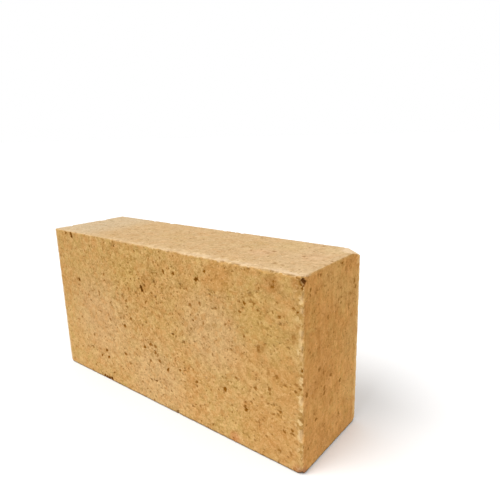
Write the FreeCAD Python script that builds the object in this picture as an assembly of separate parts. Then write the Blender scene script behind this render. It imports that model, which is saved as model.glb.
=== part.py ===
import FreeCAD, Part

import os

# A standard square firebrick: one block of pressed and fired fireclay with six flat faces.
# It stands on one of its long narrow faces. X runs along its length, Y through its thickness
# and Z up, and the origin is the middle of the face that it stands on.
# The front is the large face towards -Y, and the near end is the small face towards +X.
# Its arrises are slightly rounded, and handling has knocked flakes off the arrises and the
# corners round the near end.

# Sizes of the block, in millimetres
length = 230.0
thickness = 65.0
height = 115.0
arris_radius = 0.9

# Corners knocked off by one flat break each: how far the break reaches
# along the length, through the thickness and up or down
back_top_break = (8.0, 11.0, 3.5)
front_top_break = (3.0, 2.4, 3.2)
front_foot_break = (4.5, 3.0, 3.0)
back_foot_break = (2.2, 3.2, 2.4)
far_foot_break = (2.6, 2.0, 3.0)

# Shell-shaped flakes off the upright arris between the front and the near end:
# distance of the middle from the top or from the foot, length along the arris, depth
flakes_below_top = [
    (3.2, 4.6, 1.9),
    (11.5, 8.0, 1.1),
    (19.5, 7.0, 0.9),
    (32.5, 9.0, 1.2),
    (40.5, 6.5, 1.0),
]
flakes_above_foot = [
    (45.5, 7.0, 1.1),
    (24.5, 11.0, 1.6),
    (10.0, 7.0, 0.9),
]

# Flakes off the long arris between the front and the top:
# distance of the middle from the near end, length along the arris, depth
flakes_along_top = [
    (9.0, 13.0, 1.3),
    (22.5, 15.0, 1.7),
    (43.0, 8.0, 1.1),
    (54.0, 5.5, 1.3),
]

half_length = length / 2
half_thickness = thickness / 2


def fired_block():
    """The whole block as it leaves the kiln, with its rounded arrises."""
    corner = FreeCAD.Vector(-half_length, -half_thickness, 0)
    block = Part.makeBox(length, thickness, height, corner)
    return block.makeFillet(arris_radius, block.Edges)


def corner_point(side_x, side_y, side_z):
    """A corner of the block. Each side is -1 or 1, and side_z is -1 at the foot."""
    z = height if side_z > 0 else 0
    return FreeCAD.Vector(side_x * half_length, side_y * half_thickness, z)


def corner_break(side_x, side_y, side_z, reach):
    """What a flat break takes off a corner: a wedge that runs from the break outwards."""
    corner = corner_point(side_x, side_y, side_z)
    ends = [
        corner + FreeCAD.Vector(-side_x * reach[0], 0, 0),
        corner + FreeCAD.Vector(0, -side_y * reach[1], 0),
        corner + FreeCAD.Vector(0, 0, -side_z * reach[2]),
    ]
    middle = (ends[0] + ends[1] + ends[2]) / 3
    # The break's triangle is doubled, so that the wedge's sides lie outside the block
    wide = [middle + (end - middle) * 2 for end in ends]
    outward = corner - middle
    return Part.Face(Part.makePolygon(wide + wide[:1])).extrude(outward * 2)


def flake(point, outward, flake_length, depth):
    """A shallow ball at a point of an arris, which takes off a flake of that length and depth."""
    radius = (flake_length**2 / 4 + depth**2) / (2 * depth)
    centre = point + outward * (radius - depth)
    return Part.makeSphere(radius, centre)


def upright_flakes():
    """The flakes off the upright arris between the front and the near end."""
    outward = FreeCAD.Vector(1, -1, 0).normalize()
    heights = [(height - down, size, depth) for down, size, depth in flakes_below_top]
    heights += flakes_above_foot
    return [
        flake(FreeCAD.Vector(half_length, -half_thickness, z), outward, size, depth)
        for z, size, depth in heights
    ]


def top_flakes():
    """The flakes off the long arris between the front and the top."""
    outward = FreeCAD.Vector(0, -1, 1).normalize()
    return [
        flake(FreeCAD.Vector(half_length - x, -half_thickness, height), outward, size, depth)
        for x, size, depth in flakes_along_top
    ]


def firebrick():
    """The block with its knocked corners and flaked arrises."""
    breaks = [
        corner_break(1, 1, 1, back_top_break),
        corner_break(1, -1, 1, front_top_break),
        corner_break(1, -1, -1, front_foot_break),
        corner_break(1, 1, -1, back_foot_break),
        corner_break(-1, -1, -1, far_foot_break),
    ]
    return fired_block().cut(breaks + upright_flakes() + top_flakes())


def write(shape, name):
    """Writes one piece to its STEP file, and prints what it measures."""
    os.makedirs("parts", exist_ok=True)
    solid = shape.Solids[0]
    solid.exportStep(os.path.join("parts", name + ".step"))
    box = solid.optimalBoundingBox(False)
    print(name, "solids", len(shape.Solids), "valid", solid.isValid(), "faces", len(solid.Faces))
    print("size", round(box.XLength, 2), round(box.YLength, 2), round(box.ZLength, 2), "mm")
    print("volume", round(solid.Volume), "cubic mm")


write(firebrick(), "firebrick")
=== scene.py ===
import math
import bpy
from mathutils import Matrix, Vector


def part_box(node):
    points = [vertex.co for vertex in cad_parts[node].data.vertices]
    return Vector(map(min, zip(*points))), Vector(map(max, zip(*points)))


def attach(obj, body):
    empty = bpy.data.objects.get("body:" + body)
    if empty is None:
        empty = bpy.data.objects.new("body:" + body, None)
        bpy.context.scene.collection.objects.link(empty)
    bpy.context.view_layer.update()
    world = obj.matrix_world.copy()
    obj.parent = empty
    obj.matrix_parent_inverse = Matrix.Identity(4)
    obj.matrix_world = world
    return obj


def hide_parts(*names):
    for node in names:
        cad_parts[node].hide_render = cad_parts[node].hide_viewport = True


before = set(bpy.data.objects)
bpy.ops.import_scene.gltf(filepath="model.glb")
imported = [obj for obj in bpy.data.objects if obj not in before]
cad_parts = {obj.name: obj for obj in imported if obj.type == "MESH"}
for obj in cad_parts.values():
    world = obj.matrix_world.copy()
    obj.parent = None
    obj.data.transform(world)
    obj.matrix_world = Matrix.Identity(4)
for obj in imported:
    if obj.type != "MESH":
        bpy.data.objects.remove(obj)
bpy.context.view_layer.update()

from types import SimpleNamespace

import bpy
import numpy as np
from mathutils import Matrix, Vector
from mathutils.bvhtree import BVHTree

# The brick is one fired block. Its solid gives the faces, rounded arrises, breaks and flakes.
# This script lays a fine skin over that solid, wears and pits it as fired clay, and colours it.
# Lengths in the fields below are in millimetres, and the mesh itself is in metres.
NODE = "firebrick"
MM = 0.001

low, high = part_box(NODE)
low_mm = np.array(low) / MM
high_mm = np.array(high) / MM
size_mm = high_mm - low_mm
middle_mm = (low_mm + high_mm) / 2

# Camera, in metres in the brick's frame: the photograph's own place, direction and lens
CAMERA_PLACE = Vector((0.2270, -0.2152, 0.1818))
CAMERA_AZIMUTH = math.radians(38.45)
CAMERA_PITCH = math.radians(13.98)
CAMERA_ROLL = math.radians(1.41)
CAMERA_LENS = 32.87
SENSOR_WIDTH = 36.0

# Skin: the step of its fine grid, how far in its rays are aimed, and its triangles at the end
FINE_STEP = 0.5
AIM_DEPTH = 5.0
RAY_LIFT = 1.0
SKIN_TRIANGLES = 190000

# How strong the grain is on the ends, on the narrow faces and near the near end, next to the
# rest of the large faces
END_SHARE = 0.57
NARROW_SHARE = 0.58
NEAR_SHARE = 0.7

# Iron spots that show on the front face, and at the foot a short row of them that is a painted
# dark line of shade at a chip: millimetres from the near end, up from the foot, radius, strength
FRONT_SPOTS = [
    (128, 85, 1.8, 1.0),
    (127, 83, 1.7, 1.0),
    (75, 100, 2.1, 0.9),
    (104, 100, 1.5, 0.85),
    (95, 100, 1.5, 0.85),
    (68, 106, 1.4, 0.75),
    (38, 93, 1.3, 0.75),
    (42, 93, 1.1, 0.55),
    (34, 95, 1.1, 0.45),
    (32, 94, 1.1, 0.5),
    (42, 87, 1.2, 0.6),
    (29, 91, 1.1, 0.55),
    (15, 90, 1.1, 0.6),
    (27, 89, 1.0, 0.4),
    (19, 106, 1.3, 0.6),
    (18, 109, 1.2, 0.6),
    (28, 103, 1.1, 0.5),
    (6, 97, 1.0, 0.55),
    (4, 95, 1.3, 0.7),
    (1, 108, 1.1, 0.8),
    (4, 87, 1.2, 0.3),
    (1, 63.5, 1.4, 0.7),
    (1, 60, 1.2, 0.3),
    (0.5, 55, 1.2, 0.3),
    (4, 54, 1.3, 0.4),
    (1, 34, 1.5, 0.4),
    (2, 111, 1.3, 0.45),
    (1.2, 109.8, 1.3, 0.75),
    (4, 114, 0.9, 0.5),
    (3, 113, 1.1, 0.5),
    (6, 81, 1.7, 0.4),
    (6, 78, 1.2, 0.3),
    (208, 113, 1.8, 0.9),
    (207, 111, 1.7, 0.95),
    (214, 113, 1.3, 0.8),
    (203, 77, 1.7, 0.95),
    (178, 72, 1.1, 0.55),
    (178, 70, 1.1, 0.5),
    (205, 46, 1.4, 0.5),
    (191, 34, 1.4, 0.6),
    # These five at the foot are not iron: they paint a dark line of shade where a chip in the foot
    # arris lies in shadow
    (185, 2.4, 1.2, 0.35),
    (182, 1.6, 1.5, 0.95),
    (179, 1.5, 1.6, 1.0),
    (176, 1.4, 1.7, 1.0),
    (173, 1.8, 1.7, 1.0),
    (198, 2, 1.3, 0.6),
    (193, 8, 1.3, 0.5),
    (167, 53, 1.3, 0.65),
    (150, 52, 1.6, 0.8),
    (142, 59, 1.2, 0.65),
    (146, 72, 1.2, 0.6),
    (145, 67, 1.2, 0.5),
    (142, 81, 1.2, 0.5),
    (124, 75, 1.2, 0.6),
    (176, 25, 1.5, 0.85),
    (183, 19, 1.4, 0.65),
    (174, 20, 1.6, 0.75),
    (152, 29, 1.6, 0.7),
    (148, 23, 1.4, 0.5),
    (129, 41, 1.5, 0.7),
    (122.5, 45.5, 1.7, 0.65),
    (121, 44.5, 1.4, 0.6),
    (117.5, 44.5, 1.7, 0.55),
    (115.5, 42.5, 1.2, 0.3),
    (118, 40, 1.8, 0.6),
    (116, 38.5, 1.7, 0.45),
    (114, 34.5, 1.8, 0.6),
    (106, 31, 1.6, 0.8),
    (94, 34, 1.5, 0.7),
    (79, 31, 1.4, 0.8),
    (81, 82, 1.3, 0.5),
    (73, 85, 1.2, 0.55),
    (71, 73, 1.4, 0.5),
    (53, 77, 1.4, 0.5),
    (61, 85, 1.1, 0.4),
    (55, 34, 1.7, 0.75),
    (40, 28.5, 1.4, 0.6),
    (39, 26.5, 1.6, 0.8),
    (32, 43, 1.5, 0.55),
    (36, 40, 1.4, 0.3),
    (22, 46, 1.3, 0.55),
    (22, 43, 1.2, 0.5),
    (46, 45, 1.2, 0.7),
    (23, 36, 1.4, 0.45),
    (15, 34, 1.2, 0.6),
    (15, 37, 1.0, 0.35),
    (19, 31, 1.1, 0.5),
    (26, 26, 1.1, 0.35),
    (12, 23, 1.1, 0.6),
    (7, 26, 1.3, 0.6),
    (7, 23.5, 1.3, 0.5),
    (5, 50, 1.3, 0.6),
    (29, 69, 1.3, 0.45),
    (29, 67, 1.2, 0.35),
    (17, 55, 1.4, 0.5),
    (11, 52, 1.3, 0.4),
    (39, 73, 1.2, 0.6),
    (64, 54, 1.2, 0.5),
    (15, 9, 1.4, 0.5),
    (8, 11, 1.4, 0.35),
]
# Iron spots on the near end: millimetres back from the front face, up from the foot,
# radius, strength
END_SPOTS = [
    (7, 106, 1.2, 0.6),
    (7, 103, 1.2, 0.55),
    (13, 104, 1.3, 0.4),
    (17, 111, 1.2, 0.5),
    (57, 99, 1.2, 0.5),
    (57, 97, 1.2, 0.5),
    (59, 93, 1.2, 0.5),
    (53, 91, 1.2, 0.4),
    (41, 92, 1.2, 0.45),
    (41, 89, 1.2, 0.45),
    (46, 108, 1.6, 0.35),
    (51, 84, 1.2, 0.45),
    (51, 82, 1.2, 0.45),
    (26, 85, 1.3, 0.5),
    (17, 57, 1.4, 0.45),
    (30, 48, 1.4, 0.55),
    (42, 39, 1.5, 0.6),
    (23, 43, 1.3, 0.5),
    (23, 40, 1.2, 0.45),
    (4, 48, 1.4, 0.6),
    (14, 28, 1.5, 0.65),
    (41, 17, 1.3, 0.45),
]
# Pits and spots on the top face: millimetres from the near end, back from the front face,
# radius, strength
TOP_SPOTS = [
    (41, 33, 1.6, 0.4),
    (45, 29, 1.4, 0.3),
    (20, 33, 1.6, 0.4),
    (26, 12, 1.6, 0.35),
    (41, 12.5, 1.4, 0.25),
    (23, 61, 1.6, 0.35),
    (7, 32, 1.4, 0.3),
    (69, 59, 1.6, 0.3),
    (31, 31, 1.3, 0.25),
    (28, 52, 1.4, 0.2),
    (9, 47, 1.4, 0.2),
    (64, 32, 1.4, 0.3),
]
# Soft patches where the clay fired to another colour: millimetres from the near end, back from
# the front face, up from the foot, radius, look
SOFT_PATCHES = [
    (20, 0, 107, 7, "RUST"),
    (5, 0, 111, 4, "RUST"),
    (28, 0, 70, 5, "RUST"),
    (66, 0, 68, 30, "PINK"),
    (178, 0, 50, 42, "PINK"),
    (120, 0, 20, 34, "PINK"),
    (146, 0, 94, 18, "YELLOW"),
    (30, 0, 82, 16, "YELLOW"),
    # This orange patch at the top of the front only warms the colour there, for no known cause
    (58, 0, 105, 12, "ORANGE"),
    (22, 0, 20, 26, "ORANGE"),
    (10, 0, 52, 16, "ORANGE"),
    (48, 0, 4, 5, "RED"),
    (2, 1, 1, 6, "RED"),
    (0, 26, 72, 20, "ORANGE"),
    (0, 20, 46, 18, "ORANGE"),
    (0, 14, 18, 14, "ORANGE"),
    (0, 30, 108, 14, "STRAW"),
    (0, 56, 60, 18, "STRAW"),
    (0, 56, 92, 16, "STRAW"),
    (0, 40, 96, 12, "STRAW"),
    (0, 54, 30, 12, "STRAW"),
]
# Soft patches on the top face: millimetres from the near end, back from the front face,
# radius, look
TOP_PATCHES = [
    (39, 50, 14, "LEMON"),
    (10, 55, 12, "LEMON"),
    (14, 33, 10, "ROSE"),
    (46, 27, 10, "ROSE"),
]
# Pale fresh flakes down the arris between the front and the near end: millimetres from the
# near end, up from the foot, radius, strength
PALE_FLAKES = [
    (1.3, 103, 1.5, 0.6),
    (1.3, 96.5, 1.5, 0.65),
    (1.2, 84, 1.5, 0.55),
    (1.2, 80, 1.5, 0.55),
    (1.1, 76, 1.3, 0.5),
    (1.1, 73, 1.2, 0.6),
    (1.2, 70, 1.3, 0.4),
    (1.3, 45, 1.5, 0.75),
    (1.3, 27, 1.8, 0.75),
    (1.3, 24.5, 2.0, 0.95),
    (1.3, 21.5, 1.5, 0.65),
]
# Holes where grains fell out at the top of the arris between the front and the near end:
# millimetres from the near end, back from the front face, up from the foot, radius
HOLES = [
    (0.2, 1.6, 111.4, 1.2),
    (0.9, 0.9, 112.2, 0.9),
    (0.4, 0.9, 109.8, 0.7),
]
# Dull red stain on the break at the front foot corner, with painted shade darkening the break:
# millimetres from the near end, back from the front face, up from the foot, radius, strength
FOOT_STAIN_AND_SHADE = (1.0, 1.0, 0.8, 5.0, 0.75)
# Where a mark ends and where it is full, as shares of its radius
SPOT_EDGES = (1.2, 0.5)
FLAKE_EDGES = (1.3, 0.6)
HOLE_EDGES = (1.15, 0.7)
PATCH_EDGES = (1.2, 0.3)
STAIN_AND_SHADE_EDGES = (1.0, 0.4)

# Dots in random cells: size of a cell, share of the cells that have a dot, largest radius,
# width of its soft edge, seed
PITS = (5.0, 0.4, 1.5, 0.5, 11)
PORES = (2.1, 0.65, 1.0, 0.35, 17)
SCATTERED_SPOTS = (13.0, 0.2, 1.8, 0.6, 23)
HIDDEN_SPOTS = (8.0, 0.7, 1.8, 0.6, 27)

# Every arris is worn this far in, at least and at most
LIGHT_WEAR_WIDTHS = (0.2, 1.6)
# How far the crushed stripes reach across the two faces at their arris: the upright arrises
# near end to front, near end to back and far end to front, and the long arris top to front
NEAR_STRIPE = (5.5, 0.8)
BACK_STRIPE = (1.2, 5.0)
FAR_STRIPE = (3.0, 1.2)
TOP_STRIPE = (1.5, 8.0)
# The back top corner of the near end is dusted as the rim is: millimetres from the near end,
# from the back and from the top, where the dust ends, where it is full
BACK_CORNER_DUST = (3, 4, 1, 10.0, 5.0)
# How far the places that the clay's outlines are drawn from are pushed to and fro
PUSH_REACH = 2.2

# Depth of each part of the relief. Pits and missing crumbs have a least depth and a span
WAVE_DEPTH = 0.12
ROUGH_DEPTH = 0.3
PIT_DEPTH, PIT_DEPTH_SPAN = 0.25, 0.6
PORE_DEPTH = 0.2
SEAM_DEPTH = 0.12
IRON_DEPTH = 0.3
CRUMB_DEPTH, CRUMB_DEPTH_SPAN = 0.1, 0.25
TORN_DEPTH = 0.9
HOLE_DEPTH = 0.35
NICK_DEPTH = 0.6
# Bumps that are finer than the skin's triangles
GRIT_HEIGHT = 0.2
PORE_BUMP = 0.15

# Lamps: the way from the brick to the lamp, strength, spread in degrees
KEY_LAMP = ((-0.25, -0.53, 0.81), 1.92, 40.0)
FILL_LAMP = ((0.8, -0.3, 0.5), 0.6, 60.0)
# How white the floor and the world are to the brick. To the camera both are pure white
FLOOR_WHITE = 0.6
WORLD_WHITE = 0.6
FLOOR_REACH = 60.0


def srgb(red, green, blue, scale=1.0):
    """A colour as a picture's 0 to 255 values, turned into the linear values that shaders take."""

    def linear(value):
        share = value / 255
        return share / 12.92 if share <= 0.04045 else ((share + 0.055) / 1.055) ** 2.4

    return (linear(red) * scale, linear(green) * scale, linear(blue) * scale, 1.0)


# Colours of the clay as a picture's values: of the large faces, the ends and the narrow faces
FRONT_TONE = (207, 165, 103)
END_TONE = (218, 158, 87)
TOP_TONE = (206, 173, 128)
# How far its dark and light grains lie from that. The darker step also gives the painted shade on
# the flakes off the top arris
DARKER = (-68, -72, -88)
LIGHTER = (42, 42, 40)
PATCHES = {
    "ORANGE": (srgb(202, 143, 77), 0.5),
    "YELLOW": (srgb(202, 163, 92), 0.5),
    "STRAW": (srgb(214, 168, 100), 0.6),
    "PINK": (srgb(214, 176, 128), 0.5),
    "RUST": (srgb(176, 120, 60), 0.6),
    "RED": (srgb(198, 124, 76), 0.65),
    "LEMON": (srgb(208, 181, 128), 0.5),
    "ROSE": (srgb(217, 174, 133), 0.5),
}
ORANGE = srgb(205, 148, 84)
OLIVE = srgb(198, 164, 92)
CREAM = srgb(230, 203, 168)
FRESH = srgb(236, 197, 143)
SAND = srgb(214, 184, 144)
CHALKY = srgb(206, 184, 150)
HONEY = srgb(250, 206, 140)
CRUMBS = [srgb(178, 134, 70), srgb(212, 172, 110), srgb(240, 206, 148)]
BROWN = srgb(136, 84, 0)
# Iron spots, and the painted shade line at the chip on the front foot
SPOT = srgb(140, 88, 14)
IRON_AND_SHADE = srgb(96, 54, 0)
# Painted shade inside the holes
HOLE_SHADE = srgb(106, 60, 12)
# Painted contact shadow along the foot
FOOT_CONTACT_SHADE = srgb(100, 80, 54)
# Red-brown stain with painted shade, for the break at the front foot corner
STAIN_AND_SHADE = srgb(160, 106, 74)

# Light and dark of the grog: size of its lumps, how strong, seed
GROG_SHADES = [(0.8, 1.3, 57), (2.0, 0.45, 63), (5.0, 0.35, 67), (12.0, 0.25, 69)]
# How strong the light and dark of the grog's cells, the grains and the end's streaks are
CELL_SHADE = 0.3
GRAIN_SHADE = 0.5
STREAK_SHADE = 1.4
# The brick is this much darker at the top and paler at the foot
FOOT_SHADE = 0.09
# Orange and olive clouds: size, how strong, seed. The olive ones have a share of that
# strength, and on the top both have a share of it
HUE_CLOUDS = [(5.0, 0.5, 51), (10.0, 0.45, 59), (24.0, 0.4, 53)]
OLIVE_SHARE = 0.75
TOP_CLOUD_SHARE = 0.35
# The top's colour towards its ends: millimetres from the near end where it starts and where it
# is full, how strong, colour
TOP_ENDS = [(60.0, 5.0, 0.4, SAND), (165.0, 205.0, 0.8, CHALKY)]


class Tree:
    """Adds nodes to one node tree, of a material or of a geometry modifier."""

    def __init__(self, tree):
        self.nodes = tree.nodes
        self.links = tree.links

    def add(self, kind, inputs=(), **settings):
        """A new node. inputs pairs a socket's name or number with a value or another socket."""
        node = self.nodes.new(kind)
        for name, value in settings.items():
            setattr(node, name, value)
        for key, value in dict(inputs).items():
            if isinstance(value, bpy.types.NodeSocket):
                self.links.new(value, node.inputs[key])
            else:
                node.inputs[key].default_value = value
        return node

    def calc(self, operation, *values, clamp=False):
        """A Math node on numbers or sockets."""
        node = self.add(
            "ShaderNodeMath", enumerate(values), operation=operation, use_clamp=clamp
        )
        return node.outputs[0]

    def vector(self, operation, first, second):
        """A Vector Math node, for the operations that give a vector."""
        node = self.add(
            "ShaderNodeVectorMath", {0: first, 1: second}, operation=operation
        )
        return node.outputs["Vector"]

    def scale(self, vector, factor):
        """A vector times a number."""
        node = self.add(
            "ShaderNodeVectorMath", {0: vector, "Scale": factor}, operation="SCALE"
        )
        return node.outputs["Vector"]

    def ramp(self, value, start, end, low=0.0, high=1.0):
        """low before start and high past end, with a smooth step between them.

        A smooth step needs no clamp. With one on each ramp Cycles runs out of stack space for
        this many spots, and the brick renders black.
        """
        node = self.add(
            "ShaderNodeMapRange",
            {"Value": value, "From Min": start, "From Max": end, "To Min": low, "To Max": high},
            interpolation_type="SMOOTHSTEP",
            clamp=False,
        )
        return node.outputs[0]

    def noise(self, place, size, detail=2.0, roughness=0.5, seed=0.0):
        """Cloudy noise of about 0 to 1, whose lumps are about size across."""
        moved = self.vector("ADD", place, (seed, seed * 0.7, -seed * 1.3))
        return self.add(
            "ShaderNodeTexNoise",
            {"Vector": moved, "Scale": 1 / size, "Detail": detail, "Roughness": roughness},
        )

    def cells(self, place, size, seed=0.0):
        """Cells of about size: the distance from each cell's middle, and three random numbers."""
        moved = self.vector("ADD", place, (-seed, seed * 1.1, seed * 0.6))
        node = self.add("ShaderNodeTexVoronoi", {"Vector": moved, "Scale": 1 / size})
        parts = self.add("ShaderNodeSeparateXYZ", {0: node.outputs["Color"]})
        return node.outputs["Distance"], parts.outputs

    def dots(self, place, size, share, radius, soft, seed=0.0):
        """Round dots in random cells: 1 in a dot and 0 outside. share of the cells have one."""
        distance, random = self.cells(place, size, seed)
        reach = self.add(
            "ShaderNodeMapRange",
            {
                "Value": random[0],
                "From Min": 1 - share,
                "From Max": 1.0,
                "To Min": 0.0,
                "To Max": radius / size,
            },
        )
        inside = self.calc("SUBTRACT", reach.outputs[0], distance)
        return self.calc("DIVIDE", inside, soft / size, clamp=True), random

    def mix(self, factor, first, second):
        """A blend of two colours. The factor is kept from 0 to 1."""
        node = self.add("ShaderNodeMix", {0: factor, 6: first, 7: second}, data_type="RGBA")
        return node.outputs[2]


def on_brick(x, back, z):
    """A place in the frame, given from the near end, back from the front and up from the foot."""
    return (high_mm[0] - x, low_mm[1] + back, z)


def near_point(tree, place, point, reach, full, strength=1.0):
    """strength within full of a point, falling smoothly to 0 at reach. All in millimetres."""
    middle = tuple(float(value) for value in point)
    off = tree.add("ShaderNodeVectorMath", {0: place, 1: middle}, operation="DISTANCE")
    return tree.ramp(off.outputs["Value"], reach, full, 0.0, strength)


def mark(tree, place, point, radius, edges, strength=1.0):
    """A soft round mark at a point. edges says where it ends and is full, in radii."""
    return near_point(tree, place, point, radius * edges[0], radius * edges[1], strength)


def push(tree, place, size, seed):
    """A random move of up to about half of PUSH_REACH along each axis, in lumps of this size."""
    lumps = tree.noise(place, size, detail=1.0, seed=seed).outputs["Color"]
    lumps = tree.vector("SUBTRACT", lumps, (0.5, 0.5, 0.5))
    return tree.scale(lumps, PUSH_REACH)


def clay_fields(tree, rest):
    """What the fired clay is like at each place of the skin. The relief and the colour share it.

    rest is the place on the bare solid, in metres. Marks are drawn from bent and frayed, the
    same place pushed to and fro, so that their outlines aren't round.
    """
    place = tree.scale(rest, 1 / MM)
    bent = tree.vector("ADD", place, push(tree, place, 2.6, seed=31))
    frayed = tree.vector("ADD", bent, push(tree, place, 1.4, seed=33))
    field = SimpleNamespace(place=place, bent=bent, frayed=frayed)
    face_fields(tree, field)
    wear_and_foot_shade_fields(tree, field)
    grain_fields(tree, field)
    iron_field(tree, field)
    flake_fields(tree, field)
    return field


def face_fields(tree, field):
    """Which face each place is on, how far the nearest arris is, and what was broken off."""
    field.axes = tree.add("ShaderNodeSeparateXYZ", {0: field.place}).outputs

    def inside(axis):
        """How far inside the nearer of the two faces across this axis."""
        off = tree.calc("SUBTRACT", field.axes[axis], float(middle_mm[axis]))
        return tree.calc("SUBTRACT", float(size_mm[axis] / 2), tree.calc("ABSOLUTE", off))

    from_end, from_bed, from_top = inside(0), inside(1), inside(2)
    nearer = tree.calc("MINIMUM", from_end, from_bed)
    further = tree.calc("MAXIMUM", from_end, from_bed)
    # The middle one of the three distances is how far the nearest arris is
    field.arris = tree.calc("MAXIMUM", nearer, tree.calc("MINIMUM", further, from_top))
    side = tree.calc("MINIMUM", from_bed, from_top)
    field.on_end = tree.ramp(tree.calc("SUBTRACT", side, from_end), -0.6, 0.6)
    field.on_top = tree.ramp(tree.calc("SUBTRACT", nearer, from_top), -0.6, 0.6)
    field.off_top = tree.calc("SUBTRACT", 1.0, field.on_top)
    field.end_tone = tree.ramp(tree.calc("SUBTRACT", side, from_end), -0.6, 2.6)
    coarse = tree.ramp(field.on_end, 0.0, 1.0, 1.0, END_SHARE)
    coarse = tree.calc("MINIMUM", coarse, tree.ramp(field.on_top, 0.0, 1.0, 1.0, NARROW_SHARE))
    field.coarse = tree.calc("MINIMUM", coarse, tree.ramp(from_end, 0.0, 90.0, NEAR_SHARE, 1.0))
    # Only breaks and flakes lie this far inside the box's faces
    field.broken = tree.ramp(tree.calc("MINIMUM", nearer, from_top), 0.3, 0.7)


def crushed(tree, ragged, first, second, widths):
    """1 in a ragged stripe of these widths along the arris where both distances are 0."""
    first = tree.calc("DIVIDE", first, widths[0])
    second = tree.calc("DIVIDE", second, widths[1])
    edge = tree.ramp(ragged, 0.25, 0.75, 0.4, 1.5)
    fade = tree.calc("MULTIPLY", edge, 0.35)
    return tree.ramp(tree.calc("MAXIMUM", first, second), edge, fade)


def wear_and_foot_shade_fields(tree, field):
    """Wear: the whole length of every arris a little, and much more where handling crushed it. Also
    a painted contact shadow along the foot.
    """
    along, across, field.up = field.axes
    ragged = tree.noise(field.place, 4.0, detail=3.0, roughness=0.6, seed=7).outputs[0]
    lost_width = tree.ramp(ragged, 0.35, 0.7, *LIGHT_WEAR_WIDTHS)
    light_wear = tree.ramp(field.arris, lost_width, 0.0)
    field.behind = tree.calc("SUBTRACT", across, float(low_mm[1]))
    field.before_end = tree.calc("SUBTRACT", float(high_mm[0]), along)
    field.below_top = tree.calc("SUBTRACT", float(high_mm[2]), field.up)
    ahead = tree.calc("SUBTRACT", float(high_mm[1]), across)
    beyond = tree.calc("SUBTRACT", along, float(low_mm[0]))
    near_upright = crushed(tree, ragged, field.before_end, field.behind, NEAR_STRIPE)
    field.back_upright = crushed(tree, ragged, field.before_end, ahead, BACK_STRIPE)
    far_upright = crushed(tree, ragged, beyond, field.behind, FAR_STRIPE)
    field.rim = dusted_rim(tree, field, ragged, far_upright)

    # The arrises between the hidden faces are nicked here and there
    nicks = tree.ramp(tree.noise(field.place, 9.0, detail=2.0, seed=73).outputs[0], 0.56, 0.66)
    nicks = tree.calc("MULTIPLY", nicks, tree.ramp(field.arris, 3.2, 0.6))
    nicks = tree.calc("MULTIPLY", nicks, tree.ramp(field.behind, 8.0, 16.0))
    field.nicks = tree.calc("MULTIPLY", nicks, tree.ramp(field.before_end, 40.0, 70.0))
    # A dark line along the foot: painted contact shadow where the brick meets the floor
    field.grime = tree.ramp(field.up, 1.8, 0.4, 0.0, 0.85)
    field.worn = tree.calc("MAXIMUM", tree.calc("MULTIPLY", light_wear, 0.6), near_upright)
    broken = tree.calc("MULTIPLY", field.broken, 0.9)
    for wear in (field.back_upright, field.rim, broken, field.nicks):
        field.worn = tree.calc("MAXIMUM", field.worn, wear)


def dusted_rim(tree, field, ragged, far_upright):
    """Pale dust along the top's front arris, at its back corner and down the far upright arris."""
    rim = crushed(tree, ragged, field.below_top, field.behind, TOP_STRIPE)
    rim = tree.calc("MULTIPLY", rim, tree.ramp(field.broken, 0.0, 1.0, 1.0, 0.3))
    towards_near = tree.ramp(field.before_end, 170.0, 60.0, 0.35, 1.0)
    patchy = tree.noise(field.place, 8.0, detail=2.0, seed=29).outputs[0]
    patchy = tree.ramp(patchy, 0.35, 0.6, 0.5, 1.0)
    rim = tree.calc("MULTIPLY", tree.calc("MULTIPLY", rim, patchy), towards_near)
    x, ahead, down, reach, full = BACK_CORNER_DUST
    back_corner = (high_mm[0] - x, high_mm[1] - ahead, high_mm[2] - down)
    corner = near_point(tree, field.bent, back_corner, reach, full)
    corner = tree.calc("MULTIPLY", corner, tree.calc("SUBTRACT", 1.0, field.on_end))
    rim = tree.calc("MAXIMUM", rim, corner)
    return tree.calc("MAXIMUM", rim, tree.calc("MULTIPLY", far_upright, 0.8))


def grain_fields(tree, field):
    """Grains, the seams between them, and the holes in the body."""
    field.grog = tree.cells(field.bent, 3.2, seed=5)[1]
    edge = tree.add(
        "ShaderNodeTexVoronoi", {"Vector": field.bent, "Scale": 1 / 3.4}, feature="DISTANCE_TO_EDGE"
    )
    kept = tree.noise(field.place, 6.0, detail=2.0, seed=37).outputs[0]
    seams = tree.ramp(edge.outputs["Distance"], 0.09, 0.02)
    field.seams = tree.calc("MULTIPLY", seams, tree.ramp(kept, 0.45, 0.6))
    field.grain = tree.cells(field.bent, 1.5, seed=3)[1]
    field.crumbs = tree.cells(field.frayed, 2.4, seed=9)[1]
    field.pits, field.pit_random = tree.dots(field.frayed, *PITS)
    field.pores, field.pore_random = tree.dots(field.bent, *PORES)


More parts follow.
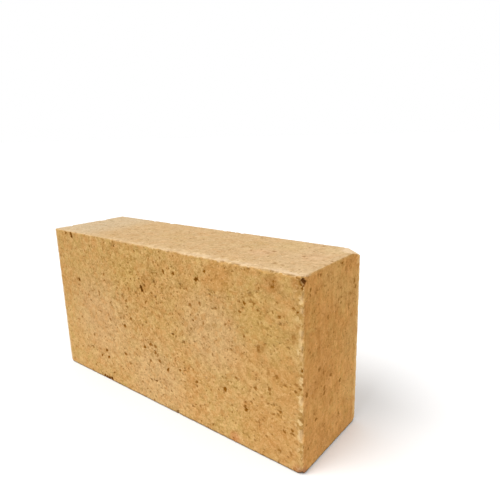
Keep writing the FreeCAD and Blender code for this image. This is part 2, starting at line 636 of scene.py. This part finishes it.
def iron_field(tree, field):
    """Iron spots and a painted dark line of shade at the foot: the placed ones, a few random ones
    all over, and more on the hidden faces.
    """
    placed = [(on_brick(x, 0, z), size, dark) for x, z, size, dark in FRONT_SPOTS]
    placed += [(on_brick(0, back, z), size, dark) for back, z, size, dark in END_SPOTS]
    placed += [(on_brick(x, back, high_mm[2]), size, dark) for x, back, size, dark in TOP_SPOTS]
    # The placed spots are joined first. With the random ones first, Cycles has less room for
    # more spots, and the brick renders black when it runs out
    iron = 0.0
    for middle, size, dark in placed:
        spot = mark(tree, field.frayed, middle, size, SPOT_EDGES, dark)
        iron = tree.calc("MAXIMUM", spot, iron)
    spots, random = tree.dots(field.frayed, *SCATTERED_SPOTS)
    spots = tree.calc("MULTIPLY", spots, tree.calc("MULTIPLY_ADD", random[1], 0.5, 0.35))
    iron = tree.calc("MAXIMUM", iron, spots)
    spots, random = tree.dots(field.frayed, *HIDDEN_SPOTS)
    spots = tree.calc("MULTIPLY", spots, tree.calc("MULTIPLY_ADD", random[1], 0.7, 0.1))
    from_shown = tree.calc("MINIMUM", field.behind, field.before_end)
    from_shown = tree.calc("MINIMUM", from_shown, field.below_top)
    spots = tree.calc("MULTIPLY", spots, tree.ramp(from_shown, 3.0, 8.0))
    field.iron = tree.calc("MAXIMUM", iron, spots)


def flake_fields(tree, field):
    """Pale fresh flakes, and holes where grains fell out."""
    field.pale = 0.0
    for x, z, size, strength in PALE_FLAKES:
        flake = mark(tree, field.frayed, on_brick(x, 0, z), size, FLAKE_EDGES, strength)
        field.pale = tree.calc("MAXIMUM", flake, field.pale)
    field.hole = 0.0
    for x, back, z, size in HOLES:
        hole = mark(tree, field.bent, on_brick(x, back, z), size, HOLE_EDGES)
        field.hole = tree.calc("MAXIMUM", hole, field.hole)


def relief(tree, field):
    """How far the skin lies below the bare solid, in metres."""
    waves = tree.ramp(tree.noise(field.place, 42.0, detail=1.0, seed=41).outputs[0], 0.2, 0.8)
    rough = tree.noise(field.place, 2.4, detail=3.0, roughness=0.6, seed=43).outputs[0]
    rough = tree.calc("MULTIPLY", rough, field.coarse)
    depth = tree.calc("MULTIPLY", waves, WAVE_DEPTH)
    depth = tree.calc("MULTIPLY_ADD", rough, ROUGH_DEPTH, depth)
    pit_depth = tree.calc("MULTIPLY_ADD", field.pit_random[1], PIT_DEPTH_SPAN, PIT_DEPTH)
    pits = tree.calc("MULTIPLY", field.pits, field.coarse)
    depth = tree.calc("MULTIPLY_ADD", pits, pit_depth, depth)
    pores = tree.calc("MULTIPLY", field.pores, field.coarse)
    depth = tree.calc("MULTIPLY_ADD", pores, PORE_DEPTH, depth)
    depth = tree.calc("MULTIPLY_ADD", field.seams, SEAM_DEPTH, depth)
    depth = tree.calc("MULTIPLY_ADD", field.iron, IRON_DEPTH, depth)
    # In a crushed arris whole grains are missing, and a break is rough
    gone = tree.calc("POWER", field.crumbs[1], 1.6)
    loss = tree.calc("MULTIPLY_ADD", gone, CRUMB_DEPTH_SPAN, CRUMB_DEPTH)
    depth = tree.calc("MULTIPLY_ADD", field.worn, loss, depth)
    torn = tree.noise(field.place, 1.8, detail=2.0, roughness=0.6, seed=47).outputs[0]
    torn = tree.calc("MULTIPLY", field.broken, torn)
    depth = tree.calc("MULTIPLY_ADD", torn, TORN_DEPTH, depth)
    depth = tree.calc("MULTIPLY_ADD", field.hole, HOLE_DEPTH, depth)
    depth = tree.calc("MULTIPLY_ADD", field.nicks, NICK_DEPTH, depth)
    return tree.calc("MULTIPLY", depth, MM)


def box_lattice(cells):
    """A square grid over a box's six faces, welded at its arrises: lattice points and quads."""
    steps = np.array([(cells[1] + 1) * (cells[2] + 1), cells[2] + 1, 1])
    quads = []
    for axis in range(3):
        across, along = [other for other in range(3) if other != axis]
        for side in (0, cells[axis]):
            grid = np.zeros((cells[across] + 1, cells[along] + 1, 3), int)
            grid[..., axis] = side
            grid[..., across] = np.arange(cells[across] + 1)[:, None]
            grid[..., along] = np.arange(cells[along] + 1)[None, :]
            keys = grid @ steps
            ring = [keys[:-1, :-1], keys[1:, :-1], keys[1:, 1:], keys[:-1, 1:]]
            faces = np.stack(ring, -1).reshape(-1, 4)
            # Only the Y pair's first two axes turn the other way round
            outward = (side > 0) != (axis == 1)
            quads.append(faces if outward else faces[:, ::-1])
    keys, quads = np.unique(np.concatenate(quads), return_inverse=True)
    points = np.stack([keys // steps[0], keys % steps[0] // steps[1], keys % steps[1]], -1)
    return points, quads.reshape(-1, 4)


def onto_solid(points):
    """Moves points of the solid's box inwards onto the solid itself."""
    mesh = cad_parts[NODE].data
    tree = BVHTree.FromPolygons(
        [v.co for v in mesh.vertices], [list(p.vertices) for p in mesh.polygons]
    )
    aim = np.clip(points, np.array(low) + AIM_DEPTH * MM, np.array(high) - AIM_DEPTH * MM)
    outward = points - aim
    outward /= np.linalg.norm(outward, axis=1)[:, None]
    starts = points + outward * RAY_LIFT * MM
    found = points.copy()
    for index, (start, way) in enumerate(zip(starts, outward)):
        hit = tree.ray_cast(Vector(start), Vector(-way))[0]
        if hit is not None:
            found[index] = hit
    return found


def relief_modifier(brick):
    """Gives the skin its relief, and keeps each point's place on the bare solid as rest."""
    group = bpy.data.node_groups.new("fired_relief", "GeometryNodeTree")
    group.interface.new_socket("Geometry", in_out="INPUT", socket_type="NodeSocketGeometry")
    group.interface.new_socket("Geometry", in_out="OUTPUT", socket_type="NodeSocketGeometry")
    tree = Tree(group)
    entry = tree.add("NodeGroupInput")
    place = tree.add("GeometryNodeInputPosition").outputs[0]
    normal = tree.add("GeometryNodeInputNormal").outputs[0]
    kept = tree.add(
        "GeometryNodeStoreNamedAttribute",
        {"Geometry": entry.outputs[0], "Name": "rest", "Value": place},
        data_type="FLOAT_VECTOR",
        domain="POINT",
    )
    depth = relief(tree, clay_fields(tree, place))
    offset = tree.scale(normal, tree.calc("MULTIPLY", depth, -1.0))
    moved = tree.add(
        "GeometryNodeSetPosition", {"Geometry": kept.outputs[0], "Offset": offset}
    )
    tree.add("NodeGroupOutput", {0: moved.outputs[0]})
    modifier = brick.modifiers.new("relief", "NODES")
    modifier.node_group = group


def fired_skin():
    """The brick's visible surface: one closed mesh over the whole solid."""
    cells = np.round(size_mm / FINE_STEP).astype(int)
    lattice, quads = box_lattice(cells)
    points = onto_solid(np.array(low) + lattice / cells * size_mm * MM)
    mesh = bpy.data.meshes.new("firebrick_surface")
    mesh.from_pydata(points, [], quads)
    mesh.polygons.foreach_set("use_smooth", np.ones(len(quads), bool))
    brick = bpy.data.objects.new("firebrick_surface", mesh)
    bpy.context.scene.collection.objects.link(brick)
    relief_modifier(brick)
    thin = brick.modifiers.new("fewer_triangles", "DECIMATE")
    thin.ratio = SKIN_TRIANGLES / (2 * len(quads))
    graph = bpy.context.evaluated_depsgraph_get()
    made = bpy.data.meshes.new_from_object(brick.evaluated_get(graph))
    brick.modifiers.clear()
    brick.data = made
    bpy.data.meshes.remove(mesh)
    made.name = "firebrick_surface"
    return brick


def face_tone(tree, field, step=(0, 0, 0)):
    """The clay's own colour on the large faces, the ends and the narrow faces, moved by a step."""
    front, end, top = (
        srgb(*(max(0, value + move) for value, move in zip(tone, step)))
        for tone in (FRONT_TONE, END_TONE, TOP_TONE)
    )
    tone = tree.mix(field.end_tone, front, end)
    return tree.mix(field.on_top, tone, top)


def clouded(tree, field, tone, cloudy):
    """The tone with its clouds and soft patches."""
    for size, strength, seed in HUE_CLOUDS:
        cloud = tree.noise(field.place, size, detail=2.0, seed=seed).outputs[0]
        warm = tree.ramp(cloud, 0.5, 0.72, 0.0, strength)
        cool = tree.ramp(cloud, 0.5, 0.28, 0.0, strength * OLIVE_SHARE)
        tone = tree.mix(tree.calc("MULTIPLY", warm, cloudy), tone, ORANGE)
        tone = tree.mix(tree.calc("MULTIPLY", cool, cloudy), tone, OLIVE)
    patches = [
        (on_brick(x, back, z), size, look, field.off_top)
        for x, back, z, size, look in SOFT_PATCHES
    ]
    patches += [
        (on_brick(x, back, high_mm[2]), size, look, field.on_top)
        for x, back, size, look in TOP_PATCHES
    ]
    for middle, size, look, where in patches:
        colour, strength = PATCHES[look]
        patch = mark(tree, field.bent, middle, size, PATCH_EDGES, strength)
        tone = tree.mix(tree.calc("MULTIPLY", patch, where), tone, colour)
    for start, full, strength, colour in TOP_ENDS:
        paled = tree.ramp(field.before_end, start, full, 0.0, strength)
        tone = tree.mix(tree.calc("MULTIPLY", paled, field.on_top), tone, colour)
    return tone


def grained(tree, field, tone, cloudy):
    """The tone with the light and dark of its grains, and with its seams, pores and pits."""
    shade = tree.calc("MULTIPLY", tree.calc("SUBTRACT", field.grog[0], 0.5), CELL_SHADE)
    grain = tree.calc("SUBTRACT", field.grain[0], 0.5)
    shade = tree.calc("MULTIPLY_ADD", grain, GRAIN_SHADE, shade)
    for size, strength, seed in GROG_SHADES:
        grog = tree.noise(field.place, size, detail=1.5, roughness=0.55, seed=seed).outputs[0]
        shade = tree.calc("MULTIPLY_ADD", tree.calc("SUBTRACT", grog, 0.5), strength, shade)
    # The near end has upright streaks
    drawn = tree.vector("MULTIPLY", field.place, (1.0, 1.0, 0.3))
    streaks = tree.noise(drawn, 2.2, detail=2.0, seed=71).outputs[0]
    streaks = tree.calc("MULTIPLY", tree.calc("SUBTRACT", streaks, 0.5), field.on_end)
    shade = tree.calc("MULTIPLY_ADD", streaks, STREAK_SHADE, shade)
    shade = tree.calc("MULTIPLY", shade, field.coarse)
    paler = tree.ramp(field.up, 100.0, 10.0, -FOOT_SHADE, FOOT_SHADE)
    shade = tree.calc("ADD", shade, tree.calc("MULTIPLY", paler, field.off_top))
    tone = tree.mix(tree.calc("MULTIPLY", shade, -1.0), tone, face_tone(tree, field, DARKER))
    tone = tree.mix(shade, tone, face_tone(tree, field, LIGHTER))
    warm_grog = tree.calc("MULTIPLY", tree.ramp(field.grog[1], 0.75, 0.9, 0.0, 0.35), cloudy)
    tone = tree.mix(warm_grog, tone, ORANGE)

    tone = tree.mix(tree.calc("MULTIPLY", field.seams, 0.22), tone, BROWN)
    pore_tone = tree.calc("MULTIPLY_ADD", field.pore_random[1], 0.75, 0.2)
    pores = tree.calc("MULTIPLY", field.pores, field.coarse)
    tone = tree.mix(tree.calc("MULTIPLY", pores, pore_tone), tone, BROWN)
    pit_tone = tree.calc("MULTIPLY_ADD", field.pit_random[2], 0.5, 0.4)
    pit_share = tree.calc("MAXIMUM", field.coarse, tree.calc("MULTIPLY", field.on_top, 0.85))
    pits = tree.calc("MULTIPLY", field.pits, pit_share)
    return tree.mix(tree.calc("MULTIPLY", pits, pit_tone), tone, BROWN)


def handled_and_shaded(tree, field, tone):
    """The tone with crumbs on its crushed arrises, fresh breaks and flakes, painted shade on the
    flakes off the top arris, and a dusted rim.
    """
    crumbs = tree.mix(tree.ramp(field.crumbs[2], 0.2, 0.5), CRUMBS[0], CRUMBS[1])
    crumbs = tree.mix(tree.ramp(field.crumbs[2], 0.55, 0.85), crumbs, CRUMBS[2])
    crumbled = tree.calc("MULTIPLY", field.worn, tree.ramp(field.on_end, 0.3, 1.0, 0.7, 0.25))
    tone = tree.mix(crumbled, tone, crumbs)
    fresh = tree.calc("MULTIPLY", field.nicks, 0.45)
    # The flakes off the top arris get painted shade, a darker copy of the face's tone, and the
    # other flakes and breaks are pale
    torn = tree.calc("MULTIPLY", field.broken, tree.ramp(field.up, 112.5, 110.0, 0.0, 0.3))
    fresh = tree.calc("MAXIMUM", fresh, torn)
    shaded_flakes = tree.calc("MULTIPLY", field.broken, tree.ramp(field.up, 110.0, 112.5, 0.0, 0.45))
    shaded_flakes = tree.calc("MULTIPLY", shaded_flakes, tree.ramp(field.behind, 4.0, 2.0))
    tone = tree.mix(shaded_flakes, tone, face_tone(tree, field, DARKER))
    tone = tree.mix(fresh, tone, FRESH)
    pale = tree.calc("MULTIPLY", field.pale, tree.ramp(field.on_end, 0.2, 1.0, 0.9, 0.25))
    tone = tree.mix(pale, tone, FRESH)
    dusty = tree.calc("MULTIPLY", field.rim, tree.ramp(field.before_end, 30.0, 5.0, 0.6, 0.8))
    tone = tree.mix(dusty, tone, CREAM)
    return tree.mix(tree.calc("MULTIPLY", field.back_upright, 0.6), tone, HONEY)


def stained_and_shaded(tree, field, tone):
    """The tone with the foot corner's red stain and painted shade, the painted contact shadow along
    the foot, the iron spots with the painted shade line at the foot's chip, and painted shade in
    the holes.
    """
    # The break at the front foot corner: a red stain and painted shade
    x, back, z, size, strength = FOOT_STAIN_AND_SHADE
    stain_and_shade = mark(tree, field.bent, on_brick(x, back, z), size, STAIN_AND_SHADE_EDGES, strength)
    tone = tree.mix(stain_and_shade, tone, STAIN_AND_SHADE)
    # Painted contact shadow along the foot
    tone = tree.mix(field.grime, tone, FOOT_CONTACT_SHADE)
    # Iron spots, and the painted dark line of shade at the chip on the front foot
    tone = tree.mix(tree.calc("MULTIPLY", field.iron, 1.45), tone, SPOT)
    tone = tree.mix(tree.ramp(field.iron, 0.7, 1.0), tone, IRON_AND_SHADE)
    # Painted shade inside the holes
    return tree.mix(tree.calc("MULTIPLY", field.hole, 0.95), tone, HOLE_SHADE)


def clay_material():
    """Fired fireclay: sandy tan with clouds, cream and brown grains, pores and iron spots."""
    material = bpy.data.materials.new("fired_clay")
    material.use_nodes = True
    material.node_tree.nodes.clear()
    tree = Tree(material.node_tree)
    rest = tree.add("ShaderNodeAttribute", attribute_name="rest").outputs["Vector"]
    field = clay_fields(tree, rest)

    tone = face_tone(tree, field)
    cloudy = tree.ramp(field.on_top, 0.0, 1.0, 1.0, TOP_CLOUD_SHARE)
    tone = clouded(tree, field, tone, cloudy)
    tone = grained(tree, field, tone, cloudy)
    tone = handled_and_shaded(tree, field, tone)
    tone = stained_and_shaded(tree, field, tone)

    grit = tree.noise(field.place, 0.8, detail=3.0, roughness=0.7, seed=61).outputs[0]
    height = tree.calc("MULTIPLY", grit, GRIT_HEIGHT * MM)
    height = tree.calc("MULTIPLY_ADD", field.pores, -PORE_BUMP * MM, height)
    bump = tree.add("ShaderNodeBump", {"Height": height, "Strength": 1.0, "Distance": 1.0})
    shader = tree.add(
        "ShaderNodeBsdfPrincipled",
        {
            "Base Color": tone,
            "Roughness": 0.95,
            "Specular IOR Level": 0.1,
            "Normal": bump.outputs[0],
        },
    )
    tree.add("ShaderNodeOutputMaterial", {"Surface": shader.outputs[0]})
    return material


def floor_material():
    """Plain white floor, brighter to the camera than to the brick, which keeps its shadow."""
    material = bpy.data.materials.new("white_floor")
    material.use_nodes = True
    material.node_tree.nodes.clear()
    tree = Tree(material.node_tree)
    path = tree.add("ShaderNodeLightPath").outputs
    seen = tree.calc("MAXIMUM", path["Is Camera Ray"], path["Is Glossy Ray"])
    dimmed = (FLOOR_WHITE, FLOOR_WHITE, FLOOR_WHITE, 1.0)
    tone = tree.mix(seen, dimmed, (1.0, 1.0, 1.0, 1.0))
    shader = tree.add("ShaderNodeBsdfDiffuse", {"Color": tone})
    tree.add("ShaderNodeOutputMaterial", {"Surface": shader.outputs[0]})
    return material


def make_floor():
    """One wide square under the brick."""
    mesh = bpy.data.meshes.new("floor")
    ring = [(-1, -1), (1, -1), (1, 1), (-1, 1)]
    corners = [(x * FLOOR_REACH, y * FLOOR_REACH, 0) for x, y in ring]
    mesh.from_pydata(corners, [], [(0, 1, 2, 3)])
    mesh.materials.append(floor_material())
    floor = bpy.data.objects.new("floor", mesh)
    bpy.context.scene.collection.objects.link(floor)


def make_world():
    """White all round: a plain light on the brick, and pure white to the camera."""
    world = bpy.data.worlds.new("white_world")
    world.use_nodes = True
    world.node_tree.nodes.clear()
    tree = Tree(world.node_tree)
    path = tree.add("ShaderNodeLightPath").outputs
    seen = tree.calc("MAXIMUM", path["Is Camera Ray"], path["Is Glossy Ray"])
    seen = tree.calc("MAXIMUM", seen, path["Is Transmission Ray"])
    lit = tree.add("ShaderNodeBackground", {"Color": (1, 1, 1, 1), "Strength": WORLD_WHITE})
    shown = tree.add("ShaderNodeBackground", {"Color": (1, 1, 1, 1), "Strength": 1.0})
    both = tree.add("ShaderNodeMixShader", {0: seen, 1: lit.outputs[0], 2: shown.outputs[0]})
    tree.add("ShaderNodeOutputWorld", {"Surface": both.outputs[0]})
    bpy.context.scene.world = world


def make_sun(name, towards, strength, spread):
    """A soft distant lamp. towards points from the brick to the lamp."""
    data = bpy.data.lights.new(name, "SUN")
    data.energy = strength
    data.angle = math.radians(spread)
    lamp = bpy.data.objects.new(name, data)
    lamp.rotation_euler = Vector(towards).to_track_quat("Z", "Y").to_euler()
    bpy.context.scene.collection.objects.link(lamp)


def make_camera():
    """The camera at the photograph's viewing angle, rolled as the photograph is."""
    flat = math.cos(CAMERA_PITCH)
    forward = Vector(
        (
            -math.sin(CAMERA_AZIMUTH) * flat,
            math.cos(CAMERA_AZIMUTH) * flat,
            -math.sin(CAMERA_PITCH),
        )
    )
    right = forward.cross(Vector((0, 0, 1))).normalized()
    up = right.cross(forward)
    turned_up = up * math.cos(CAMERA_ROLL) + right * math.sin(CAMERA_ROLL)
    turned_right = right * math.cos(CAMERA_ROLL) - up * math.sin(CAMERA_ROLL)
    data = bpy.data.cameras.new("camera")
    data.sensor_width = SENSOR_WIDTH
    data.lens = CAMERA_LENS
    data.clip_start = 0.01
    camera = bpy.data.objects.new("camera", data)
    turn = Matrix((turned_right, turned_up, -forward)).transposed()
    camera.matrix_world = Matrix.Translation(CAMERA_PLACE) @ turn.to_4x4()
    bpy.context.scene.collection.objects.link(camera)
    bpy.context.scene.camera = camera


bpy.context.scene.view_settings.view_transform = "Standard"
make_camera()
make_world()
make_sun("key_lamp", *KEY_LAMP)
make_sun("fill_lamp", *FILL_LAMP)
make_floor()

brick = fired_skin()
brick.data.materials.clear()
brick.data.materials.append(clay_material())
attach(brick, "root")
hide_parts(NODE)
